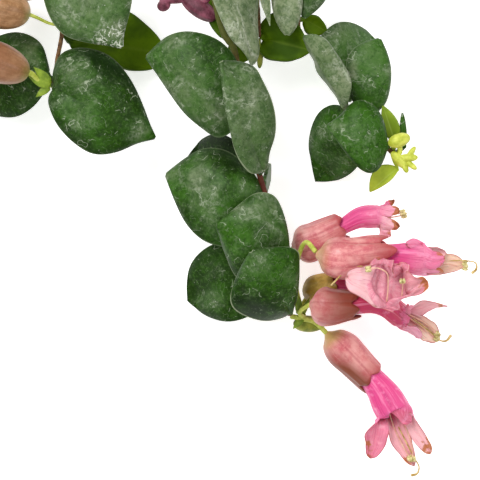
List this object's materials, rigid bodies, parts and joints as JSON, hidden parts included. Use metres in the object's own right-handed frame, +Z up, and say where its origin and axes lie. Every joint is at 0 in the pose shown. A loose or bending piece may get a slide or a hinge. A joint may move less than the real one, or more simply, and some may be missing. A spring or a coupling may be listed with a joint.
{
  "type": "lipstick plant spray",
  "caption": "Cut branching spray of a trailing lipstick plant with thick waxy leaves, tan buds and a cluster of pink tubular flowers, lying on a surface.",
  "frame": {"origin": "middle of the bounding box, on the surface that the spray lies on", "axes": "+Z up from the surface, +Y towards the cut end of the stem, +X towards the side of the flower cluster"},
  "size_m": [0.1577, 0.2076, 0.0439],
  "materials": {
    "stem_bark": "matt brown bark, reddish where it is young",
    "green_stalk": "smooth yellow-green flower stalk",
    "leaf_green": "waxy deep green with a pale bloom and a paler rim",
    "leaf_underside": "matt olive underside",
    "young_leaf": "smooth yellow-green",
    "young_bud": "smooth pale yellow-green",
    "dusky_bud": "dusky purple, matt",
    "tan_bud": "tan calyx skin, slightly waxy",
    "calyx_pink": "dusty pink calyx skin, slightly waxy",
    "corolla_pink": "soft hot pink petal, paler at the lobes",
    "stamen_cream": "cream filaments with golden-olive anthers"
  },
  "bodies": {
    "root": {"stem": "stem_bark", "leaf_left_1": "leaf_green", "leaf_left_2": "leaf_underside", "leaf_left_3": "leaf_green", "leaf_left_4": "leaf_green", "leaf_middle_1": "leaf_green", "leaf_middle_2": "leaf_underside", "leaf_middle_3": "leaf_green", "leaf_middle_4": "leaf_green", "leaf_middle_5": "leaf_green", "leaf_middle_6": "leaf_green", "leaf_middle_7": "leaf_green", "leaf_middle_8": "leaf_green", "leaf_middle_9": "leaf_green", "leaf_middle_10": "leaf_green", "leaf_shoot_1": "leaf_green", "leaf_shoot_2": "leaf_green", "leaf_shoot_3": "leaf_underside", "leaf_shoot_4": "leaf_underside", "leaf_right_1": "leaf_green", "leaf_right_2": "leaf_underside", "leaf_right_3": "leaf_green", "leaf_right_4": "leaf_green", "leaf_right_5": "leaf_green", "leaf_right_6": "leaf_green", "leaf_right_7": "leaf_green", "leaf_young_1": "young_leaf", "leaf_young_2": "leaf_green", "leaf_young_3": "young_leaf", "leaf_fork_1": "leaf_green", "leaf_fork_2": "leaf_green", "flower_1_calyx": "calyx_pink", "flower_1_corolla": "corolla_pink", "flower_1_stamens": "stamen_cream", "flower_2_calyx": "calyx_pink", "flower_2_corolla": "corolla_pink", "flower_2_stamens": "stamen_cream", "flower_3_calyx": "calyx_pink", "flower_3_corolla": "corolla_pink", "flower_3_stamens": "stamen_cream", "flower_4_calyx": "calyx_pink", "flower_4_corolla": "corolla_pink", "flower_4_stamens": "stamen_cream", "flower_5_calyx": "calyx_pink", "flower_5_corolla": "corolla_pink", "flower_5_stamens": "stamen_cream", "bud_left_1": "tan_bud", "bud_left_2": "tan_bud", "bud_left_3": "tan_bud", "bud_top": "dusky_bud", "bud_young": "young_bud", "bud_shoot": "young_leaf", "cluster_stalk": "green_stalk"}
  },
  "joints": []
}
